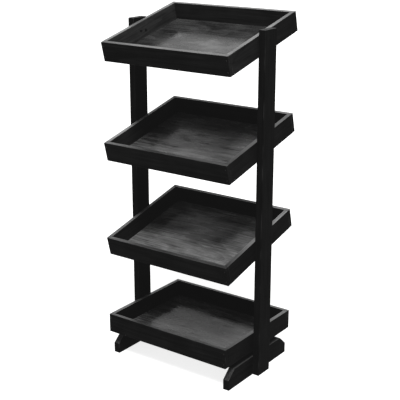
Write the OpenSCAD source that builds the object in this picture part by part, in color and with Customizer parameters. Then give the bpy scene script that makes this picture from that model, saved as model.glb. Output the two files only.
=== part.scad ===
// Market crate stand: four shallow open crates screwed between two posts, each post on a long foot.
// Sizes are in millimetres. The front is -Y, and the origin is on the ground midway between the posts.

/* [Crates] */
// Width of a crate, which is also the room between the posts
crate_w = 420; // [320:1:600]
// Depth of a crate, front to back
crate_d = 338; // [260:1:420]
// Height of a crate's boards
crate_h = 57; // [48:1:80]
// Thickness of a crate's boards
board_t = 12; // [9:0.5:18]
// Thickness of a crate's floor panel
floor_t = 9; // [6:0.5:12]
// Gap between the floor panel and each side board
floor_gap = 1.5; // [0.5:0.5:3]

/* [Tiers] */
// Clear height between a foot and the bottom crate
foot_clear = 17.5; // [10:0.5:40]
// Rise from the middle of one crate to the middle of the next
tier_rise = 283.5; // [230:0.5:340]
// Forward lean of the three upper crates, in degrees
lean = 14; // [0:0.5:20]

/* [Posts] */
// Width of a post, front to back
post_w = 57; // [45:1:90]
// Thickness of a post
post_t = 20; // [16:0.5:30]
// Height of a post above the middle of the top crate
post_rise = 37.5; // [20:0.5:80]

/* [Feet] */
// Length of a foot, front to back
foot_l = 302; // [240:1:400]
// Height of a foot
foot_h = 57; // [48:1:80]
// Thickness of a foot
foot_t = 20; // [16:0.5:30]
// Length of the slope at each end of a foot
nose_l = 30; // [10:1:45]
// Drop of the slope at each end of a foot
nose_drop = 27; // [10:1:40]

/* [Screws] */
// Diameter of a screw
screw_d = 4; // [3:0.5:5]
// Diameter of a screw's countersunk head
screw_head_d = 8; // [7:0.5:9]
// Spacing of the two level screws at each end of a crate
crate_screw_gap = 22; // [16:1:30]
// Spacing of the four screws in a foot, both ways
foot_screw_gap = 28; // [20:1:32]
// Wood left in a post past the tip of a crate screw
crate_screw_cover = 2; // [1:0.5:5]
// Wood left in a post past the tip of a foot screw
foot_screw_cover = 5; // [1:0.5:8]

/* [Pins] */
// Diameter of a pin
pin_d = 1.6; // [1.2:0.1:2]
// Diameter of a pin's head
pin_head_d = 2.8; // [2.4:0.1:3.2]
// Depth of a corner pin in the end of a side board
corner_pin_bite = 22; // [15:1:30]
// Height between the two pins at a corner
corner_pin_gap = 32; // [20:1:40]
// Depth of a floor pin in the edge of the floor panel
floor_pin_bite = 18; // [10:1:25]
// Number of floor pins along the front, and along the back
floor_pin_count = 4; // [2:1:6]

/* [Hidden] */
$fn = 48;
// How far a cut runs past the face that it opens
overrun = 1;
// How much wider a bore is than the screw or pin in it, and how far it runs past the tip
bore_gap = 0.1;
// Length of a screw's point
screw_point_l = 5;
// Cross recess in a screw's head
recess_l = 4.4;
recess_w = 1.1;
recess_depth = 1.5;
// Height of a pin's head
pin_head_h = 1.2;

crate_screw_l = board_t + post_t - crate_screw_cover;
foot_screw_l = foot_t + post_t - foot_screw_cover;
corner_pin_l = board_t + corner_pin_bite;
floor_pin_l = board_t + floor_pin_bite;

// Room inside a crate's boards
inner_w = crate_w - 2 * board_t;
inner_d = crate_d - 2 * board_t;

// Crates from the ground up
tier_names = ["bottom", "third", "second", "top"];
tiers = [0 : len(tier_names) - 1];
bottom_z = foot_h + foot_clear + crate_h / 2;
function tier_z(t) = bottom_z + t * tier_rise;
function tier_lean(t) = t == 0 ? 0 : lean;
post_h = tier_z(len(tier_names) - 1) + post_rise;

// A side is -1 on the left and 1 on the right, and an end is -1 at the front and 1 at the back
sides = [-1, 1];
ends = [-1, 1];
side_names = ["left", "right"];
end_names = ["front", "back"];
function side_name(side) = side_names[(side + 1) / 2];
function end_name(end) = end_names[(end + 1) / 2];

board_stain = "#242424";
panel_stain = "#3c3c3b";
frame_stain = "#202020";
screw_steel = "#4a4a4c";
pin_steel = "#8a8a8c";

crate_pieces = ["front_board", "back_board", "left_board", "right_board", "floor_panel",
                "corner_pins", "floor_pins", "left_screws", "right_screws"];
frame_nodes = [for (side = side_names, piece = ["post", "foot", "foot_screws"]) str(side, "_", piece)];
crate_nodes = [for (tier = tier_names, piece = crate_pieces) str(tier, "_", piece)];

// Moves what is drawn about a crate's own middle to its tier, leaning forward between the posts
module in_tier(t) {
    translate([0, 0, tier_z(t)])
        rotate([tier_lean(t), 0, 0])
            children();
}

// Countersunk screw that points along +Z from the face of its head
module screw(length) {
    head_r = screw_head_d / 2;
    shank_r = screw_d / 2;
    difference() {
        rotate_extrude()
            polygon([
                [0, 0],
                [head_r, 0],
                [shank_r, head_r - shank_r],
                [shank_r, length - screw_point_l],
                [0, length],
            ]);
        for (turn = [0, 90])
            rotate([0, 0, turn])
                cube([recess_l, recess_w, 2 * recess_depth], center = true);
    }
}

// Countersink and bore that a screw of this length sits in
module screw_hole(length) {
    mouth_r = screw_head_d / 2 + overrun;
    bore_r = (screw_d + bore_gap) / 2;
    rotate_extrude()
        polygon([
            [0, -overrun],
            [mouth_r, -overrun],
            [bore_r, screw_head_d / 2 - bore_r],
            [bore_r, length + bore_gap],
            [0, length + bore_gap],
        ]);
}

// Headed pin that points along +Z from the face of its head
module pin(length) {
    cylinder(h = pin_head_h, d = pin_head_d);
    cylinder(h = length, d = pin_d);
}

// Counterbore and bore that a pin of this length sits in
module pin_hole(length) {
    translate([0, 0, -overrun])
        cylinder(h = pin_head_h + overrun, d = pin_head_d + bore_gap);
    cylinder(h = length + bore_gap, d = pin_d + bore_gap);
}

// Two pins at each upright corner of a crate, driven through the front and back boards
module at_corner_pins() {
    for (side = sides, end = ends, level = [-1, 1])
        translate([side * (crate_w - board_t) / 2, end * crate_d / 2, level * corner_pin_gap / 2])
            rotate([90 * end, 0, 0])
                children();
}

// A row of pins through the front and back boards into the edges of the floor panel
module at_floor_pins() {
    step = inner_w / floor_pin_count;
    for (end = ends, i = [0 : floor_pin_count - 1])
        translate([step * (i + 1 / 2) - inner_w / 2, end * crate_d / 2, (floor_t - crate_h) / 2])
            rotate([90 * end, 0, 0])
                children();
}

// A level pair of screws from inside a crate into the middle of a post
module at_crate_screws(t, side) {
    for (end = ends)
        translate([side * (crate_w / 2 - board_t), end * crate_screw_gap / 2, tier_z(t)])
            rotate([0, 90 * side, 0])
                children();
}

// A square of screws from the inner face of a foot into its post
module at_foot_screws(side) {
    for (end = ends, level = [-1, 1])
        translate([side * (crate_w / 2 - foot_t), end * foot_screw_gap / 2,
                   (foot_h + level * foot_screw_gap) / 2])
            rotate([0, 90 * side, 0])
                children();
}

// Front or back board of a crate, over the full width
module end_board(t, end) {
    color(board_stain)
        in_tier(t)
            difference() {
                translate([0, end * (crate_d - board_t) / 2, 0])
                    cube([crate_w, board_t, crate_h], center = true);
                at_corner_pins() pin_hole(corner_pin_l);
                at_floor_pins() pin_hole(floor_pin_l);
            }
}

// Side board of a crate, between the front and back boards and flat against its post
module side_board(t, side) {
    color(board_stain)
        difference() {
            in_tier(t)
                difference() {
                    translate([side * (crate_w - board_t) / 2, 0, 0])
                        cube([board_t, inner_d, crate_h], center = true);
                    at_corner_pins() pin_hole(corner_pin_l);
                }
            at_crate_screws(t, side) screw_hole(crate_screw_l);
        }
}

// Floor of a crate, level with the undersides of its boards
module floor_panel(t) {
    color(panel_stain)
        in_tier(t)
            difference() {
                translate([0, 0, (floor_t - crate_h) / 2])
                    cube([inner_w - 2 * floor_gap, inner_d, floor_t], center = true);
                at_floor_pins() pin_hole(floor_pin_l);
            }
}

module corner_pins(t) {
    color(pin_steel)
        in_tier(t)
            at_corner_pins() pin(corner_pin_l);
}

module floor_pins(t) {
    color(pin_steel)
        in_tier(t)
            at_floor_pins() pin(floor_pin_l);
}

module crate_screws(t, side) {
    color(screw_steel)
        at_crate_screws(t, side) screw(crate_screw_l);
}

// Upright board outside the crates, from the ground to just past the top crate's middle
module post(side) {
    color(frame_stain)
        difference() {
            translate([side * (crate_w + post_t) / 2, 0, post_h / 2])
                cube([post_t, post_w, post_h], center = true);
            for (t = tiers)
                at_crate_screws(t, side) screw_hole(crate_screw_l);
            at_foot_screws(side) screw_hole(foot_screw_l);
        }
}

// Board on edge across the bottom of a post, sloped at both upper ends
module foot(side) {
    half_l = foot_l / 2;
    nose_h = foot_h - nose_drop;
    color(frame_stain)
        difference() {
            translate([side * (crate_w - foot_t) / 2, 0, 0])
                rotate([90, 0, 90])
                    linear_extrude(height = foot_t, center = true)
                        polygon([
                            [-half_l, 0],
                            [half_l, 0],
                            [half_l, nose_h],
                            [half_l - nose_l, foot_h],
                            [nose_l - half_l, foot_h],
                            [-half_l, nose_h],
                        ]);
            at_foot_screws(side) screw_hole(foot_screw_l);
        }
}

module foot_screws(side) {
    color(screw_steel)
        at_foot_screws(side) screw(foot_screw_l);
}

for (side = sides) {
    name = side_name(side);
    post(side);
    foot(side);
    foot_screws(side);
}
for (t = tiers) {
    tier = tier_names[t];
    for (end = ends)
        end_board(t, end);
    for (side = sides) {
        side_board(t, side);
        crate_screws(t, side);
    }
    floor_panel(t);
    corner_pins(t);
    floor_pins(t);
}
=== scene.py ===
import math
import random

import bmesh
import bpy
import numpy as np
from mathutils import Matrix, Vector


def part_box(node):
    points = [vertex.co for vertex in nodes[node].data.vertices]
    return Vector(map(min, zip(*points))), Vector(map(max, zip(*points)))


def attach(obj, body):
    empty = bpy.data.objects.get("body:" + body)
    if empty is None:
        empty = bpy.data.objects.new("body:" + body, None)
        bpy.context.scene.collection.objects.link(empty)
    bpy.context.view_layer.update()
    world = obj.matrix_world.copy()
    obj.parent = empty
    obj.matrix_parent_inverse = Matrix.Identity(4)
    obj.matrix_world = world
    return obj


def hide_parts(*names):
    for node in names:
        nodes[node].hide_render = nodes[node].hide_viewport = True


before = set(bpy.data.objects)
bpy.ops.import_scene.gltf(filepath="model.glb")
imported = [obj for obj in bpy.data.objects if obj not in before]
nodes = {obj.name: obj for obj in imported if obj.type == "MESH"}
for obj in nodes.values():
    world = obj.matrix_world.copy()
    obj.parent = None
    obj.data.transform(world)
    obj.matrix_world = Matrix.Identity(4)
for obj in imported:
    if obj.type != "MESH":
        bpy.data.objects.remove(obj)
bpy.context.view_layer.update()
tiers = ("bottom", "third", "second", "top")
sides = ("left", "right")
mm = 0.001
quarterTurn = 90.0  # degrees
print("frame loaded:", len(nodes), "CAD nodes")


# Small helpers

def linear(hexColour):  # sRGB hex to the linear colour that sockets take
    parts = [int(hexColour[i:i + 2], 16) / 255 for i in (1, 3, 5)]
    return (*[c / 12.92 if c <= 0.04045 else ((c + 0.055) / 1.055) ** 2.4 for c in parts], 1)


def addNode(tree, kind, links=None, values=None, **settings):
    node = tree.nodes.new(kind)
    for name, value in settings.items():
        setattr(node, name, value)
    for socket, value in (values or {}).items():
        node.inputs[socket].default_value = value
    for socket, source in (links or {}).items():
        tree.links.new(source, node.inputs[socket])
    return node


def newMaterial(name):
    material = bpy.data.materials.new(name)
    material.use_nodes = True
    material.node_tree.nodes.clear()
    return material, material.node_tree


def addPiece(name, mesh):
    piece = bpy.data.objects.new(name, mesh)
    bpy.context.scene.collection.objects.link(piece)
    return piece


def settle(piece):  # the evaluated shape becomes the piece's own plain mesh
    depsgraph = bpy.context.evaluated_depsgraph_get()
    mesh = bpy.data.meshes.new_from_object(piece.evaluated_get(depsgraph))
    piece.modifiers.clear()
    piece.data = mesh


cadCopy = {"merge": 0.002, "flat": 1.0}  # mm between corners that are one, degrees between faces that are one


def mergedCopy(node):  # a CAD mesh is loose triangles, so a copy is joined up before any work on it
    shape = bmesh.new()
    shape.from_mesh(nodes[node].data)
    bmesh.ops.remove_doubles(shape, verts=shape.verts, dist=cadCopy["merge"] * mm)
    return shape


# Materials

waveTurn = math.pi / 10  # at a scale of 1, the rings of a wave texture lie this far apart

pineLook = {
    "dark": "#030303", "light": "#171717",  # black stain lies thicker in the soft early wood
    "paleDark": "#333333", "paleLight": "#5d5d5d",  # and a paler coat for painted light and shade: inside the crates, on rims and sawn tops that face up, on outer sides towards the front; on rims partly real rubbing
    "worn": "#5d5d5d",  # rubbed arrises show grey
    "ring": 5.0, "ringDraw": 0.12,  # mm, drawn coarse to show, and how little the rings change along a board
    "ringBend": 4.0, "ringDetail": 2.0, "ringDetailScale": 0.35,
    "fibre": 3.0, "fibreLength": 160.0, "fibreDetail": 4.0, "fibreRough": 0.6,  # mm, drawn coarse to show
    "blotch": 70.0, "blotchDetail": 3.0, "blotchRough": 0.5,  # mm
    "ringShare": 0.12, "blotchShare": 0.3,  # of the figure
    "figureLow": 0.36, "figureHigh": 0.66,  # from the darkest stain to the lightest
    "wear": 2.2, "wearMost": 0.2,  # mm from an arris that handling has rubbed, and how much
    "wearLow": 0.5, "wearHigh": 0.68,  # the blotches where it did
    "ior": 1.4, "specular": 0.02,
    "sheenLow": 0.3, "sheenHigh": 0.7, "roughLow": 0.58, "roughHigh": 0.78,  # roughness follows the figure
    "bump": 0.25, "bumpDepth": 0.3,  # mm
}
# Rim pine is painted paler as a painted highlight where the rims face up to the light, partly real rubbing;
# its higher gloss is its own
rimLook = dict(pineLook, dark="#141414", light="#2c2c2c", paleDark="#525252", paleLight="#868686",
               blotch=130.0, blotchShare=0.5, specular=0.55, roughLow=0.24, roughHigh=0.38)


# Planed pine under a thin black spirit stain: near black and matt, with rings and fibres just showing
def stainedPine(name, look):
    material, tree = newMaterial(name)
    grain = addNode(tree, "ShaderNodeAttribute", attribute_name="grainPlace").outputs["Vector"]
    board = addNode(tree, "ShaderNodeAttribute", attribute_name="boardPlace").outputs["Vector"]
    half = addNode(tree, "ShaderNodeAttribute", attribute_name="boardHalf").outputs["Vector"]
    drawn = addNode(tree, "ShaderNodeMapping", {"Vector": grain}, {"Scale": (look["ringDraw"], 1, 1)})
    rings = addNode(tree, "ShaderNodeTexWave", {"Vector": drawn.outputs["Vector"]},
                    {"Scale": waveTurn / (look["ring"] * mm), "Distortion": look["ringBend"],
                     "Detail": look["ringDetail"], "Detail Scale": look["ringDetailScale"]},
                    wave_type="RINGS", rings_direction="X", wave_profile="SAW")
    across = 1 / (look["fibre"] * mm)
    along = 1 / (look["fibreLength"] * mm)
    fibreMap = addNode(tree, "ShaderNodeMapping", {"Vector": grain}, {"Scale": (along, across, across)})
    fibres = addNode(tree, "ShaderNodeTexNoise", {"Vector": fibreMap.outputs["Vector"]},
                     {"Scale": 1, "Detail": look["fibreDetail"], "Roughness": look["fibreRough"]})
    blotch = addNode(tree, "ShaderNodeTexNoise", {"Vector": grain},
                     {"Scale": 1 / (look["blotch"] * mm), "Detail": look["blotchDetail"],
                      "Roughness": look["blotchRough"]})
    lines = addNode(tree, "ShaderNodeMix", {"A": fibres.outputs["Fac"], "B": rings.outputs["Fac"]},
                    {"Factor": look["ringShare"]})
    figure = addNode(tree, "ShaderNodeMix", {"A": lines.outputs["Result"], "B": blotch.outputs["Fac"]},
                     {"Factor": look["blotchShare"]})
    # The second, paler coat stands for painted light and shade, partly real rubbing on the rims, and is laid
    # where the mask read below asks for it
    coats = []
    for tints in (("dark", "light"), ("paleDark", "paleLight")):
        coat = addNode(tree, "ShaderNodeValToRGB", {"Fac": figure.outputs["Result"]})
        for stop, level, tint in zip(coat.color_ramp.elements, ("figureLow", "figureHigh"), tints):
            stop.position = look[level]
            stop.color = linear(look[tint])
        coats.append(coat.outputs["Color"])
    thinStainAndLight = addNode(tree, "ShaderNodeAttribute", attribute_name="thinStainAndPaintedLight").outputs["Fac"]
    stain = addNode(tree, "ShaderNodeMix", {"Factor": thinStainAndLight, "A": coats[0], "B": coats[1]},
                    data_type="RGBA", clamp_factor=False)
    # a spot is as far from the nearest arris as the middle one of its distances to the three pairs of faces
    spot = addNode(tree, "ShaderNodeVectorMath", {0: board}, operation="ABSOLUTE").outputs["Vector"]
    toFaces = addNode(tree, "ShaderNodeVectorMath", {0: half, 1: spot}, operation="SUBTRACT")
    reach = addNode(tree, "ShaderNodeSeparateXYZ", {"Vector": toFaces.outputs["Vector"]}).outputs
    nearer = addNode(tree, "ShaderNodeMath", {0: reach["X"], 1: reach["Y"]}, operation="MINIMUM").outputs[0]
    farther = addNode(tree, "ShaderNodeMath", {0: reach["X"], 1: reach["Y"]}, operation="MAXIMUM").outputs[0]
    capped = addNode(tree, "ShaderNodeMath", {0: farther, 1: reach["Z"]}, operation="MINIMUM").outputs[0]
    toArris = addNode(tree, "ShaderNodeMath", {0: nearer, 1: capped}, operation="MAXIMUM").outputs[0]
    nearArris = addNode(tree, "ShaderNodeMapRange", {"Value": toArris},
                        {"From Min": look["wear"] * mm, "From Max": 0.0}).outputs[0]
    rubbed = addNode(tree, "ShaderNodeMapRange", {"Value": blotch.outputs["Fac"]},
                     {"From Min": look["wearLow"], "From Max": look["wearHigh"],
                      "To Max": look["wearMost"]}).outputs[0]
    wear = addNode(tree, "ShaderNodeMath", {0: nearArris, 1: rubbed}, operation="MULTIPLY").outputs[0]
    colour = addNode(tree, "ShaderNodeMix", {"Factor": wear, "A": stain.outputs["Result"]},
                     {"B": linear(look["worn"])}, data_type="RGBA")
    rough = addNode(tree, "ShaderNodeMapRange", {"Value": figure.outputs["Result"]},
                    {"From Min": look["sheenLow"], "From Max": look["sheenHigh"],
                     "To Min": look["roughLow"], "To Max": look["roughHigh"]})
    bump = addNode(tree, "ShaderNodeBump", {"Height": lines.outputs["Result"]},
                   {"Strength": look["bump"], "Distance": look["bumpDepth"] * mm})
    shader = addNode(tree, "ShaderNodeBsdfPrincipled",
                     {"Base Color": colour.outputs["Result"], "Roughness": rough.outputs[0],
                      "Normal": bump.outputs["Normal"]},
                     {"IOR": look["ior"], "Specular IOR Level": look["specular"]})
    addNode(tree, "ShaderNodeOutputMaterial", {"Surface": shader.outputs["BSDF"]})
    return material


plyLook = {
    "dark": "#1b1b1b", "light": "#4a4a4a",
    "figureLength": 480.0, "figureWidth": 120.0, "figureDetail": 1.5, "figureRough": 0.4,  # mm
    "contours": 13.0, "contourEdge": 2.5,  # veneer lines from hollow to crest, and how sharply each one ends
    "feather": 0.05,  # how ragged the fibres leave those lines
    "fibre": 3.2, "fibreLength": 170.0, "hair": 1.1, "hairLength": 40.0,  # mm, drawn coarse to show
    "streakDetail": 3.0, "streakRough": 0.6,
    "cloud": 60.0, "cloudDraw": 0.5, "cloudDetail": 5.0, "cloudRough": 0.6,  # mm across a cloudy patch
    "wave": 0.3,  # mm that the sheet swells with the clouds
    "hairShare": 0.4, "veneerShare": 0.09, "cloudShare": 0.35,  # of the figure
    "figureLow": 0.39, "figureHigh": 0.575,  # from the darkest stain to the lightest
    "ior": 1.5, "specular": 0.03, "sheenShare": 0.5,  # and how cloudy the gloss is
    "sheenLow": 0.38, "sheenHigh": 0.58, "roughLow": 0.75, "roughHigh": 0.9,
    "bump": 0.3, "bumpDepth": 0.2,  # mm
}
sealedLook = dict(plyLook, specular=0.38, roughLow=0.08, roughHigh=0.3)


# Rotary-cut plywood under the same stain: veneer lines, fine streaks and clouds, matt unless it is sealed
def stainedPly(name, look):
    material, tree = newMaterial(name)
    grain = addNode(tree, "ShaderNodeAttribute", attribute_name="grainPlace").outputs["Vector"]
    tone = addNode(tree, "ShaderNodeAttribute", attribute_name="boardTone").outputs["Fac"]
    swirlMap = addNode(tree, "ShaderNodeMapping", {"Vector": grain},
                       {"Scale": (1 / (look["figureLength"] * mm), 1 / (look["figureWidth"] * mm), 1)})
    swirl = addNode(tree, "ShaderNodeTexNoise", {"Vector": swirlMap.outputs["Vector"]},
                    {"Scale": 1, "Detail": look["figureDetail"], "Roughness": look["figureRough"]})
    streaks = []
    for width, length in (("fibre", "fibreLength"), ("hair", "hairLength")):
        streakMap = addNode(tree, "ShaderNodeMapping", {"Vector": grain},
                            {"Scale": (1 / (look[length] * mm), 1 / (look[width] * mm), 1)})
        streak = addNode(tree, "ShaderNodeTexNoise", {"Vector": streakMap.outputs["Vector"]},
                         {"Scale": 1, "Detail": look["streakDetail"], "Roughness": look["streakRough"]})
        streaks.append(streak.outputs["Fac"])
    feathered = addNode(tree, "ShaderNodeMix", {"A": swirl.outputs["Fac"], "B": streaks[0]},
                        {"Factor": look["feather"]})
    turns = addNode(tree, "ShaderNodeMath", {0: feathered.outputs["Result"]}, {1: look["contours"]},
                    operation="MULTIPLY")
    ringStep = addNode(tree, "ShaderNodeMath", {0: turns.outputs[0]}, operation="FRACT")
    veneer = addNode(tree, "ShaderNodeMath", {0: ringStep.outputs[0]}, {1: look["contourEdge"]},
                     operation="POWER")
    cloudMap = addNode(tree, "ShaderNodeMapping", {"Vector": grain}, {"Scale": (look["cloudDraw"], 1, 1)})
    clouds = addNode(tree, "ShaderNodeTexNoise", {"Vector": cloudMap.outputs["Vector"]},
                     {"Scale": 1 / (look["cloud"] * mm), "Detail": look["cloudDetail"],
                      "Roughness": look["cloudRough"]})
    fibres = addNode(tree, "ShaderNodeMix", {"A": streaks[0], "B": streaks[1]}, {"Factor": look["hairShare"]})
    lines = addNode(tree, "ShaderNodeMix", {"A": fibres.outputs["Result"], "B": veneer.outputs[0]},
                    {"Factor": look["veneerShare"]})
    figure = addNode(tree, "ShaderNodeMix", {"A": lines.outputs["Result"], "B": clouds.outputs["Fac"]},
                     {"Factor": look["cloudShare"]})
    stain = addNode(tree, "ShaderNodeValToRGB", {"Fac": figure.outputs["Result"]})
    for stop, level, tint in zip(stain.color_ramp.elements, ("figureLow", "figureHigh"), ("dark", "light")):
        stop.position = look[level]
        stop.color = linear(look[tint])
    # the stain is multiplied by the floor's tone: its painted-light paleness, set per crate, with a little
    # random tone
    colour = addNode(tree, "ShaderNodeMix", {"A": stain.outputs["Color"], "B": tone}, {"Factor": 1.0},
                     data_type="RGBA", blend_type="MULTIPLY")
    sheen = addNode(tree, "ShaderNodeMix", {"A": figure.outputs["Result"], "B": clouds.outputs["Fac"]},
                    {"Factor": look["sheenShare"]})
    rough = addNode(tree, "ShaderNodeMapRange", {"Value": sheen.outputs["Result"]},
                    {"From Min": look["sheenLow"], "From Max": look["sheenHigh"],
                     "To Min": look["roughLow"], "To Max": look["roughHigh"]})
    swell = addNode(tree, "ShaderNodeBump", {"Height": clouds.outputs["Fac"]},
                    {"Strength": 1.0, "Distance": look["wave"] * mm})
    bump = addNode(tree, "ShaderNodeBump",
                   {"Height": lines.outputs["Result"], "Normal": swell.outputs["Normal"]},
                   {"Strength": look["bump"], "Distance": look["bumpDepth"] * mm})
    shader = addNode(tree, "ShaderNodeBsdfPrincipled",
                     {"Base Color": colour.outputs["Result"], "Roughness": rough.outputs[0],
                      "Normal": bump.outputs["Normal"]},
                     {"IOR": look["ior"], "Specular IOR Level": look["specular"]})
    addNode(tree, "ShaderNodeOutputMaterial", {"Surface": shader.outputs["BSDF"]})
    return material


zincLook = {
    "colour": "#2a2a2c", "bright": "#5c5c60",
    "patch": 1.5, "patchDetail": 3.0, "patchLow": 0.45, "patchHigh": 0.75,  # mm
    "metallic": 1.0, "rough": 0.38,
}
pinLook = {
    "colour": "#161514", "bright": "#4a4643",
    "patch": 0.8, "patchDetail": 2.0, "patchLow": 0.55, "patchHigh": 0.8,  # mm
    "metallic": 0.4, "rough": 0.5,
}


def fixingSteel(name, look):  # dark steel, brighter in small patches where it is bare
    material, tree = newMaterial(name)
    place = addNode(tree, "ShaderNodeTexCoord").outputs["Object"]
    patches = addNode(tree, "ShaderNodeTexNoise", {"Vector": place},
                      {"Scale": 1 / (look["patch"] * mm), "Detail": look["patchDetail"]})
    tone = addNode(tree, "ShaderNodeValToRGB", {"Fac": patches.outputs["Fac"]})
    for stop, level, tint in zip(tone.color_ramp.elements, ("patchLow", "patchHigh"), ("colour", "bright")):
        stop.position = look[level]
        stop.color = linear(look[tint])
    shader = addNode(tree, "ShaderNodeBsdfPrincipled", {"Base Color": tone.outputs["Color"]},
                     {"Metallic": look["metallic"], "Roughness": look["rough"]})
    addNode(tree, "ShaderNodeOutputMaterial", {"Surface": shader.outputs["BSDF"]})
    return material


pine = stainedPine("blackStainedPine", pineLook)
rubbedAndLitPine = stainedPine("blackStainedPineRubbedAndLit", rimLook)  # rims and other faces that look up: glossier, and greyer as a painted highlight from the light above, partly hand burnishing
ply = stainedPly("blackStainedPly", plyLook)
sealedPly = stainedPly("blackStainedPlySealed", sealedLook)  # the sheets' upper faces, with a satin gloss
zinc = fixingSteel("blackZincSteel", zincLook)  # dark grey metal, scuffed bright by the driver
pinSteel = fixingSteel("stainedPinSteel", pinLook)  # stained over with the wood, so only a faint disc shows
print("materials made")


# Boards and panels

boardCut = {
    "arris": 1.2, "panelArris": 0.5, "segments": 3,  # mm of rounding on boards, and on floor panels
    "sharp": 30.0, "longEdge": 6.0,  # degrees and mm above which an edge is rounded, so the bores stay crisp
    "smooth": 40.0,  # degrees under which two faces shade as one
}
faceLimits = {"up": 0.5, "sawn": 0.6, "side": 0.7}  # how straight a face has to look up or sideways
grainChance = {
    "pith": (0.06, 0.12),  # m to the tree's middle, which lies off to one face
    "along": 5.0, "across": 0.03,  # m that the pattern is shifted either way
    "runOut": 0.02,  # slope of the grain, since the saw never follows it exactly
    "tone": (0.9, 1.0),
}
# How pale each crate's faces are painted, mostly as light and shade: paler inside the upper crates as painted
# light and darker inside the lower ones as painted shade from the crates above; outer sides painted lighter
# towards the front, painted light; each floor's paleness set to how brightly it looks under the light,
# painted light; and each rim paler as a painted highlight, partly real rubbing by hands and goods. A front
# rim has a value for its left end and one for the rest, and the others have one for the front and one for the
# back.
crateWearAndLight = {
    "bottom": {
        "inside": 0.03, "paintedSideLight": 0.0, "floorTone": 1.2,
        "front": (0.3, 0.0), "back": (0.4, 0.4), "left": (0.5, 0.5), "right": (0.0, 0.7),
    },
    "third": {
        "inside": 0.15, "paintedSideLight": 0.0, "floorTone": 2.3,
        "front": (0.6, 0.05), "back": (0.8, 0.8), "left": (0.45, 1.0), "right": (0.05, 1.4),
    },
    "second": {
        "inside": 0.22, "paintedSideLight": 0.05, "floorTone": 1.6,
        "front": (0.5, 0.12), "back": (0.8, 0.8), "left": (1.0, 0.9), "right": (0.05, 0.8),
    },
    "top": {
        "inside": 0.5, "paintedSideLight": 0.11, "floorTone": 0.8,
        "front": (0.5, 0.7), "back": (0.9, 0.9), "left": (0.9, 0.9), "right": (1.2, 0.75),
    },
}
endShare = 0.4  # how much of that painted inside light and shade shows on the front and back boards
rimLeftEndReach = 0.25  # how much of a front rim its paler left end, a painted highlight, takes up
frameTopHighlight = {"post": 0.9, "foot": 0.4}  # how pale the sawn tops of the posts and feet are painted: a painted highlight where they face up


def boardAxes(mesh):  # along, across and through a board, from which way most of its surface faces
    tiny, digits, square = 0.01, 3, 0.1  # what counts as none, how finely aims differ, what counts as square
    areas = {}
    for face in mesh.polygons:
        normal = face.normal
        lead = next(c for c in normal if abs(c) > tiny)
        key = tuple(round(c * math.copysign(1, lead), digits) for c in normal)
        areas[key] = areas.get(key, 0) + face.area
    ranked = [Vector(key).normalized() for key in sorted(areas, key=areas.get, reverse=True)]
    through = ranked[0]
    across = next(axis for axis in ranked if abs(axis.dot(through)) < square)
    return across.cross(through), across, through


def markGrain(mesh, axes, tone, seed):  # attributes that the wood materials read, in metres
    chance = random.Random(seed)
    along, across, slope = grainChance["along"], grainChance["across"], grainChance["runOut"]
    places = np.empty(len(mesh.vertices) * 3)
    mesh.vertices.foreach_get("co", places)
    board = places.reshape(-1, 3) @ np.array(axes).T
    low, high = board.min(0), board.max(0)
    board -= (low + high) / 2
    half = np.tile((high - low) / 2, (len(board), 1))
    pith = chance.uniform(*grainChance["pith"]) * chance.choice((-1, 1))
    shift = np.array([chance.uniform(-along, along), chance.uniform(-across, across), pith])
    runOut = np.outer(board[:, 0], (0, 0, chance.uniform(-slope, slope)))
    for name, values in (("grainPlace", board + shift + runOut), ("boardPlace", board), ("boardHalf", half)):
        layer = mesh.attributes.new(name, "FLOAT_VECTOR", "POINT")
        layer.data.foreach_set("vector", values.astype(np.float32).ravel())
    # for floors, tone is the painted-light paleness of that crate's floor; the random part is the board's own
    boardTone = tone * chance.uniform(*grainChance["tone"])
    tones = mesh.attributes.new("boardTone", "FLOAT", "POINT")
    tones.data.foreach_set("value", np.full(len(board), boardTone, np.float32))


# the CAD board with rounded arrises and its grain laid, and a loop of edges across it where the front rim's
# painted highlight fades out
def dressBoard(node, finishes, arris, thinStainAndLight, seed, tone=1.0, loopAt=None):
    shape = mergedCopy(node)
    bmesh.ops.dissolve_limit(shape, angle_limit=math.radians(cadCopy["flat"]), verts=shape.verts,
                             edges=shape.edges)
    if loopAt is not None:
        bmesh.ops.bisect_plane(shape, geom=[*shape.verts, *shape.edges, *shape.faces],
                               plane_co=(loopAt, 0, 0), plane_no=(1, 0, 0))
    weights = shape.edges.layers.float.new("bevel_weight_edge")
    for edge in shape.edges:
        corner = len(edge.link_faces) == 2 and edge.calc_face_angle() > math.radians(boardCut["sharp"])
        if corner and edge.calc_length() > boardCut["longEdge"] * mm:
            edge[weights] = 1.0
    mesh = bpy.data.meshes.new(node + "_dressed")
    shape.to_mesh(mesh)
    shape.free()
    mesh.shade_smooth()
    mesh.set_sharp_from_angle(angle=math.radians(boardCut["smooth"]))
    piece = addPiece(node + "_dressed", mesh)
    for finish in finishes:
        mesh.materials.append(finish)
    bevel = piece.modifiers.new("easedArris", "BEVEL")
    bevel.limit_method = "WEIGHT"
    bevel.width = arris * mm
    bevel.segments = boardCut["segments"]
    piece.modifiers.new("flatFaces", "WEIGHTED_NORMAL").keep_sharp = True
    settle(piece)
    markGrain(piece.data, boardAxes(nodes[node].data), tone, seed)
    # each corner takes the value of the mask of painted light and shade, partly rubbing on the rims
    stain = piece.data.attributes.new("thinStainAndPaintedLight", "FLOAT", "CORNER")
    for face in piece.data.polygons:
        for corner in face.loop_indices:
            spot = piece.data.vertices[piece.data.loops[corner].vertex_index].co
            stain.data[corner].value = thinStainAndLight(face.normal, spot)
        # a second finish lies on what faces up: on boards the paler rim pine, a painted highlight; on floors
        # the sealed ply
        face.material_index = len(finishes) - 1 if face.normal.z > faceLimits["up"] else 0
    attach(piece, "root")
    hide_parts(node)


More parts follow.
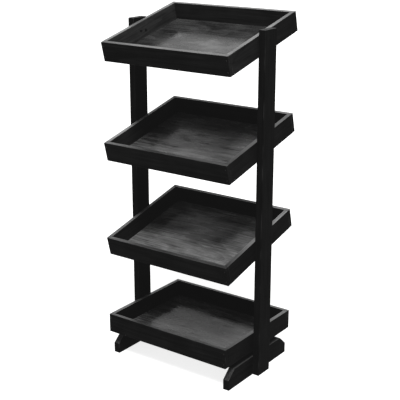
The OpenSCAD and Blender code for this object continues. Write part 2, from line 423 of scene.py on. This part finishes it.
def thinStainAndLightOnCrate(tier, place, inward):  # how pale each face of a crate's board is painted: mostly painted light and shade, partly rubbing on the rims
    # wear holds the crate's values of painted light and shade, with some real rubbing on the rims
    wear = crateWearAndLight[tier]
    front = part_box(f"{tier}_front_board")[0][1]
    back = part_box(f"{tier}_back_board")[1][1]
    near, far = wear[place]

    def thinStainAndLight(normal, spot):
        along = min(max((spot.y - front) / (back - front), 0), 1)
        # rims: a painted highlight, partly rubbing, changing from front to back, and along a front rim from
        # its left end
        if normal.z > faceLimits["up"]:
            share = min((spot.x - rimLeft) / (fadeEnd - rimLeft), 1) if place == "front" else along
            return near + (far - near) * share
        # inner faces: painted light in the upper crates, painted shade in the lower ones
        if normal.dot(inward) > faceLimits["side"]:
            return wear["inside"] * (1 if place in sides else endShare)
        # outer sides: painted light, paler towards the front
        return wear["paintedSideLight"] * (1 - along) if abs(normal.x) > faceLimits["side"] else 0

    return thinStainAndLight


def thinStainAndLightOnTops(most):  # the same for a board painted paler only on faces that look up: a painted highlight
    return lambda normal, spot: most if normal.z > faceLimits["sawn"] else 0


inwards = {
    "front": Vector((0, 1, 0)), "back": Vector((0, -1, 0)),
    "left": Vector((1, 0, 0)), "right": Vector((-1, 0, 0)),
}
rimLeft, rimRight = (corner[0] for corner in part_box("top_front_board"))
fadeEnd = rimLeft + (rimRight - rimLeft) * rimLeftEndReach
boardSeed = 11  # each board takes the next seed, so no two have the same grain
for tier in tiers:
    for place, inward in inwards.items():
        boardSeed += 1
        dressBoard(f"{tier}_{place}_board", (pine, rubbedAndLitPine), boardCut["arris"],
                   thinStainAndLightOnCrate(tier, place, inward), boardSeed,
                   loopAt=fadeEnd if place == "front" else None)
    boardSeed += 1
    # each floor's tone is painted light: paler where it looks more brightly lit
    dressBoard(f"{tier}_floor_panel", (ply, sealedPly), boardCut["panelArris"], thinStainAndLightOnTops(0),
               boardSeed, crateWearAndLight[tier]["floorTone"])
for side in sides:
    for piece in ("post", "foot"):
        boardSeed += 1
        dressBoard(f"{side}_{piece}", (pine,), boardCut["arris"], thinStainAndLightOnTops(frameTopHighlight[piece]),
                   boardSeed)
print("boards dressed")


# Screws and pins

def fixingsIn(node):  # head middle, outward aim and length of each screw or pin in a CAD node
    shape = mergedCopy(node)
    left = set(shape.verts)
    found = []
    while left:
        island, edgeOfSearch = set(), [left.pop()]
        while edgeOfSearch:
            vert = edgeOfSearch.pop()
            island.add(vert)
            for edge in vert.link_edges:
                other = edge.other_vert(vert)
                if other in left:
                    left.remove(other)
                    edgeOfSearch.append(other)
        spots = np.array([vert.co for vert in island])
        middle = (spots.min(0) + spots.max(0)) / 2
        aim = np.linalg.svd(spots - spots.mean(0))[2][0]
        reach = (spots - middle) @ aim
        wide = np.linalg.norm(spots - middle - np.outer(reach, aim), axis=1)
        if reach[wide.argmax()] < 0:  # the head is the widest part
            aim, reach = -aim, -reach
        found.append((Vector(middle + aim * reach.max()), Vector(aim), reach.max() - reach.min()))
    shape.free()
    return sorted(found, key=lambda fixing: tuple(fixing[0]))


screwSizes = {  # mm; half of the recess's depth is in the head
    "Head Radius": 4.0, "Shank Radius": 2.0, "Head Height": 2.0,
    "Recess Length": 4.4, "Recess Width": 1.1, "Recess Depth": 3.0,
}
pinSizes = {"Head Radius": 1.4, "Shank Radius": 0.8, "Head Height": 0.9, "Set Depth": 0.3}  # mm
roundSteps = {"screwHead": 40, "screwShank": 20, "pinHead": 20, "pinShank": 12}  # corners around each
spinSeed = 7


def newTree(name, sizes):  # a Geometry Nodes tree with one named input for each size
    tree = bpy.data.node_groups.new(name, "GeometryNodeTree")
    tree.interface.new_socket("Geometry", in_out="INPUT", socket_type="NodeSocketGeometry")
    for size in sizes:
        tree.interface.new_socket(size, in_out="INPUT", socket_type="NodeSocketFloat")
    tree.interface.new_socket("Finish", in_out="INPUT", socket_type="NodeSocketMaterial")
    tree.interface.new_socket("Geometry", in_out="OUTPUT", socket_type="NodeSocketGeometry")
    return tree, addNode(tree, "NodeGroupInput").outputs


def placeOnPoints(tree, given, shape):  # one copy at each point, along the point's own aim, turned at random
    aim = addNode(tree, "GeometryNodeInputNamedAttribute", values={"Name": "aim"}, data_type="FLOAT_VECTOR")
    facing = addNode(tree, "FunctionNodeAlignRotationToVector", {"Vector": aim.outputs["Attribute"]},
                     axis="Z")
    spin = addNode(tree, "FunctionNodeRandomValue", values={2: 0.0, 3: math.pi, "Seed": spinSeed},
                   data_type="FLOAT")  # sockets 2 and 3 are the least and the most of a plain number
    turn = addNode(tree, "FunctionNodeAxisAngleToRotation", {"Angle": spin.outputs[1]}, {"Axis": (0, 0, 1)})
    driven = addNode(tree, "FunctionNodeRotateRotation",
                     {"Rotation": facing.outputs["Rotation"], "Rotate By": turn.outputs["Rotation"]},
                     rotation_space="LOCAL")
    copies = addNode(tree, "GeometryNodeInstanceOnPoints",
                     {"Points": given["Geometry"], "Instance": shape, "Rotation": driven.outputs["Rotation"]})
    real = addNode(tree, "GeometryNodeRealizeInstances", {"Geometry": copies.outputs["Instances"]})
    finish = addNode(tree, "GeometryNodeSetMaterial",
                     {"Geometry": real.outputs["Geometry"], "Material": given["Finish"]})
    addNode(tree, "NodeGroupOutput", {"Geometry": finish.outputs["Geometry"]})


def sunkBy(tree, given, depths):  # a downward shift by the sum of some sizes, each with its share
    total = None
    for socket, share in depths:
        part = addNode(tree, "ShaderNodeMath", {0: given[socket]}, {1: -share}, operation="MULTIPLY")
        if total is not None:
            part = addNode(tree, "ShaderNodeMath", {0: total, 1: part.outputs[0]}, operation="ADD")
        total = part.outputs[0]
    return addNode(tree, "ShaderNodeCombineXYZ", {"Z": total}).outputs["Vector"]


def screwTree():  # countersunk head with a cross recess, on a plain shank
    tree, given = newTree("countersunkScrews", ("Head Radius", "Shank Radius", "Head Height", "Shank Length",
                                                "Recess Length", "Recess Width", "Recess Depth"))
    head = addNode(tree, "GeometryNodeMeshCone",
                   {"Radius Top": given["Head Radius"], "Radius Bottom": given["Shank Radius"],
                    "Depth": given["Head Height"]}, {"Vertices": roundSteps["screwHead"]})
    headDown = addNode(tree, "GeometryNodeTransform",
                       {"Geometry": head.outputs["Mesh"],
                        "Translation": sunkBy(tree, given, [("Head Height", 1)])})
    slotSize = addNode(tree, "ShaderNodeCombineXYZ",
                       {"X": given["Recess Length"], "Y": given["Recess Width"], "Z": given["Recess Depth"]})
    slot = addNode(tree, "GeometryNodeMeshCube", {"Size": slotSize.outputs["Vector"]})
    crossSlot = addNode(tree, "GeometryNodeTransform", {"Geometry": slot.outputs["Mesh"]},
                        {"Rotation": (0, 0, math.radians(quarterTurn))})
    cut = addNode(tree, "GeometryNodeMeshBoolean", {"Mesh 1": headDown.outputs["Geometry"]},
                  operation="DIFFERENCE", solver="EXACT")
    tree.links.new(slot.outputs["Mesh"], cut.inputs["Mesh 2"])
    tree.links.new(crossSlot.outputs["Geometry"], cut.inputs["Mesh 2"])
    shank = addNode(tree, "GeometryNodeMeshCylinder",
                    {"Radius": given["Shank Radius"], "Depth": given["Shank Length"]},
                    {"Vertices": roundSteps["screwShank"]})
    shankDown = addNode(tree, "GeometryNodeTransform",
                        {"Geometry": shank.outputs["Mesh"],
                         "Translation": sunkBy(tree, given, [("Head Height", 1), ("Shank Length", 0.5)])})
    whole = addNode(tree, "GeometryNodeJoinGeometry")
    tree.links.new(cut.outputs["Mesh"], whole.inputs["Geometry"])
    tree.links.new(shankDown.outputs["Geometry"], whole.inputs["Geometry"])
    placeOnPoints(tree, given, whole.outputs["Geometry"])
    return tree


def pinTree():  # small round head, set a little under the wood, on a thin shank
    tree, given = newTree("headedPins",
                          ("Head Radius", "Shank Radius", "Head Height", "Shank Length", "Set Depth"))
    head = addNode(tree, "GeometryNodeMeshCylinder",
                   {"Radius": given["Head Radius"], "Depth": given["Head Height"]},
                   {"Vertices": roundSteps["pinHead"]})
    headDown = addNode(tree, "GeometryNodeTransform",
                       {"Geometry": head.outputs["Mesh"],
                        "Translation": sunkBy(tree, given, [("Head Height", 0.5), ("Set Depth", 1)])})
    shank = addNode(tree, "GeometryNodeMeshCylinder",
                    {"Radius": given["Shank Radius"], "Depth": given["Shank Length"]},
                    {"Vertices": roundSteps["pinShank"]})
    shankDown = addNode(tree, "GeometryNodeTransform",
                        {"Geometry": shank.outputs["Mesh"],
                         "Translation": sunkBy(tree, given, [("Head Height", 1), ("Set Depth", 1),
                                                             ("Shank Length", 0.5)])})
    whole = addNode(tree, "GeometryNodeJoinGeometry")
    tree.links.new(headDown.outputs["Geometry"], whole.inputs["Geometry"])
    tree.links.new(shankDown.outputs["Geometry"], whole.inputs["Geometry"])
    placeOnPoints(tree, given, whole.outputs["Geometry"])
    return tree


def driveFixings(name, tree, sizes, replaced, material):
    heads, aims, lengths = zip(*(fixing for node in replaced for fixing in fixingsIn(node)))
    mesh = bpy.data.meshes.new(name)
    mesh.from_pydata(heads, [], [])
    aimLayer = mesh.attributes.new("aim", "FLOAT_VECTOR", "POINT")
    aimLayer.data.foreach_set("vector", np.array(aims, np.float32).ravel())
    piece = addPiece(name, mesh)
    modifier = piece.modifiers.new(name, "NODES")
    modifier.node_group = tree
    values = {size: value * mm for size, value in sizes.items()}
    values["Shank Length"] = lengths[0] - values["Head Height"] - values.get("Set Depth", 0)
    values["Finish"] = material
    for item in tree.interface.items_tree:
        if item.in_out == "INPUT" and item.name in values:
            modifier[item.identifier] = values[item.name]
    settle(piece)
    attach(piece, "root")
    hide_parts(*replaced)


screws = screwTree()
pins = pinTree()
driveFixings("crate_screws_zinc", screws, screwSizes,
             [f"{tier}_{side}_screws" for tier in tiers for side in sides], zinc)
driveFixings("foot_screws_zinc", screws, screwSizes, [f"{side}_foot_screws" for side in sides], zinc)
driveFixings("corner_pins_set", pins, pinSizes, [f"{tier}_corner_pins" for tier in tiers], pinSteel)
driveFixings("floor_pins_set", pins, pinSizes, [f"{tier}_floor_pins" for tier in tiers], pinSteel)
print("screws and pins driven")


# Floor, light and camera

floorLook = {
    "colour": "#b4b4b4", "glow": 0.8, "specular": 0.1,
    "mottle": 1000 / 3, "mottleDetail": 2.0, "roughLow": 0.8, "roughHigh": 1.0,  # mm
    "reach": 40.0, "drop": 0.2,  # m to each side, mm below the feet
}


# Pale matt acrylic, lit a little from below as a light table is, so only a faint shadow shows
def paleFloor():
    material, tree = newMaterial("paleMattAcrylic")
    place = addNode(tree, "ShaderNodeTexCoord").outputs["Object"]
    mottle = addNode(tree, "ShaderNodeTexNoise", {"Vector": place},
                     {"Scale": 1 / (floorLook["mottle"] * mm), "Detail": floorLook["mottleDetail"]})
    rough = addNode(tree, "ShaderNodeMapRange", {"Value": mottle.outputs["Fac"]},
                    {"To Min": floorLook["roughLow"], "To Max": floorLook["roughHigh"]})
    shader = addNode(tree, "ShaderNodeBsdfPrincipled", {"Roughness": rough.outputs[0]},
                     {"Base Color": linear(floorLook["colour"]), "Specular IOR Level": floorLook["specular"],
                      "Emission Color": (1, 1, 1, 1), "Emission Strength": floorLook["glow"]})
    addNode(tree, "ShaderNodeOutputMaterial", {"Surface": shader.outputs["BSDF"]})
    far, down = floorLook["reach"], -floorLook["drop"] * mm
    corners = [(-far, -far, down), (far, -far, down), (far, far, down), (-far, far, down)]
    mesh = bpy.data.meshes.new("studio_floor")
    mesh.from_pydata(corners, [], [(0, 1, 2, 3)])
    mesh.materials.append(material)
    addPiece("studio_floor", mesh)


cameraLook = {
    "place": (1.555, -2.144, 1.323), "turn": 35.93, "dip": 17.6,  # m, degrees
    "lens": 86.6, "sensor": 36.0,  # mm
}
lightLook = {
    "roomLevel": 0.5, "most": 1.56,  # dim room in front, and what full white below stands for
    "wall": (  # the lit wall behind: degrees up, level
        (0, 0.85), (12, 0.85), (16, 0.14), (20, 0.15),
        (26, 0.25), (28, 1.06), (31.5, 1.06), (33.5, 0.11),
    ),
    "wallFrom": -0.4, "wallFull": 0.6,  # where it fades in, from -1 at the camera's side to 1 behind
    "keyFrom": (0.31, -0.43, 0.845),
    "keySpread": 18.0, "keyLevel": 4.0,  # degrees across, watts per square metre
    "toe": ((0.0, 0.006), (0.01, 0.0105), (0.04, 0.037), (0.07, 0.067)),  # the photo's slightly raised blacks
}


def studioLight():
    world = bpy.data.worlds.new("studio")
    bpy.context.scene.world = world
    world.use_nodes = True
    tree = world.node_tree
    tree.nodes.clear()
    away = math.radians(cameraLook["turn"])
    place = addNode(tree, "ShaderNodeTexCoord").outputs["Generated"]
    behind = addNode(tree, "ShaderNodeVectorMath", {0: place}, {1: (-math.sin(away), math.cos(away), 0)},
                     operation="DOT_PRODUCT")
    turned = addNode(tree, "ShaderNodeMapRange", {"Value": behind.outputs["Value"]},
                     {"From Min": lightLook["wallFrom"], "From Max": lightLook["wallFull"]},
                     interpolation_type="SMOOTHSTEP")
    rise = addNode(tree, "ShaderNodeSeparateXYZ", {"Vector": place}).outputs["Z"]
    climb = addNode(tree, "ShaderNodeMath", {0: rise}, operation="ARCSINE")
    height = addNode(tree, "ShaderNodeMapRange", {"Value": climb.outputs[0]},
                     {"From Max": math.radians(quarterTurn)})
    wall = addNode(tree, "ShaderNodeValToRGB", {"Fac": height.outputs[0]})
    stops = wall.color_ramp.elements
    for i, (angle, level) in enumerate(lightLook["wall"]):
        stop = stops[i] if i < 1 else stops.new(angle / quarterTurn)
        stop.color = (level, level, level, 1)
    stops.remove(stops[-1])
    room = addNode(tree, "ShaderNodeMix", {"Factor": turned.outputs[0], "B": wall.outputs["Color"]},
                   {"A": [lightLook["roomLevel"] / lightLook["most"]] * 3 + [1]}, data_type="RGBA")
    sky = addNode(tree, "ShaderNodeBackground", {"Color": room.outputs["Result"]},
                  {"Strength": lightLook["most"]})
    addNode(tree, "ShaderNodeOutputWorld", {"Surface": sky.outputs["Background"]})
    lamp = bpy.data.lights.new("far_softbox", "SUN")
    lamp.energy = lightLook["keyLevel"]
    lamp.angle = math.radians(lightLook["keySpread"])
    key = bpy.data.objects.new("far_softbox", lamp)
    key.rotation_euler = Vector(lightLook["keyFrom"]).to_track_quat("Z", "Y").to_euler()
    bpy.context.scene.collection.objects.link(key)


def photoCamera():
    lens = bpy.data.cameras.new("photo_camera")
    lens.lens = cameraLook["lens"]
    lens.sensor_width = cameraLook["sensor"]
    camera = bpy.data.objects.new("photo_camera", lens)
    camera.location = cameraLook["place"]
    tilt = quarterTurn - cameraLook["dip"]
    camera.rotation_euler = (math.radians(tilt), 0, math.radians(cameraLook["turn"]))
    bpy.context.scene.collection.objects.link(camera)
    bpy.context.scene.camera = camera


def raisedBlacks():
    view = bpy.context.scene.view_settings
    view.view_transform = "Standard"
    view.use_curve_mapping = True
    allColours = 3  # the curve after those for red, green and blue
    toe = view.curve_mapping.curves[allColours].points
    toe[0].location = lightLook["toe"][0]
    for spot in lightLook["toe"][1:]:
        toe.new(*spot)
    view.curve_mapping.update()


paleFloor()
studioLight()
photoCamera()
raisedBlacks()
print("floor, light and camera set")
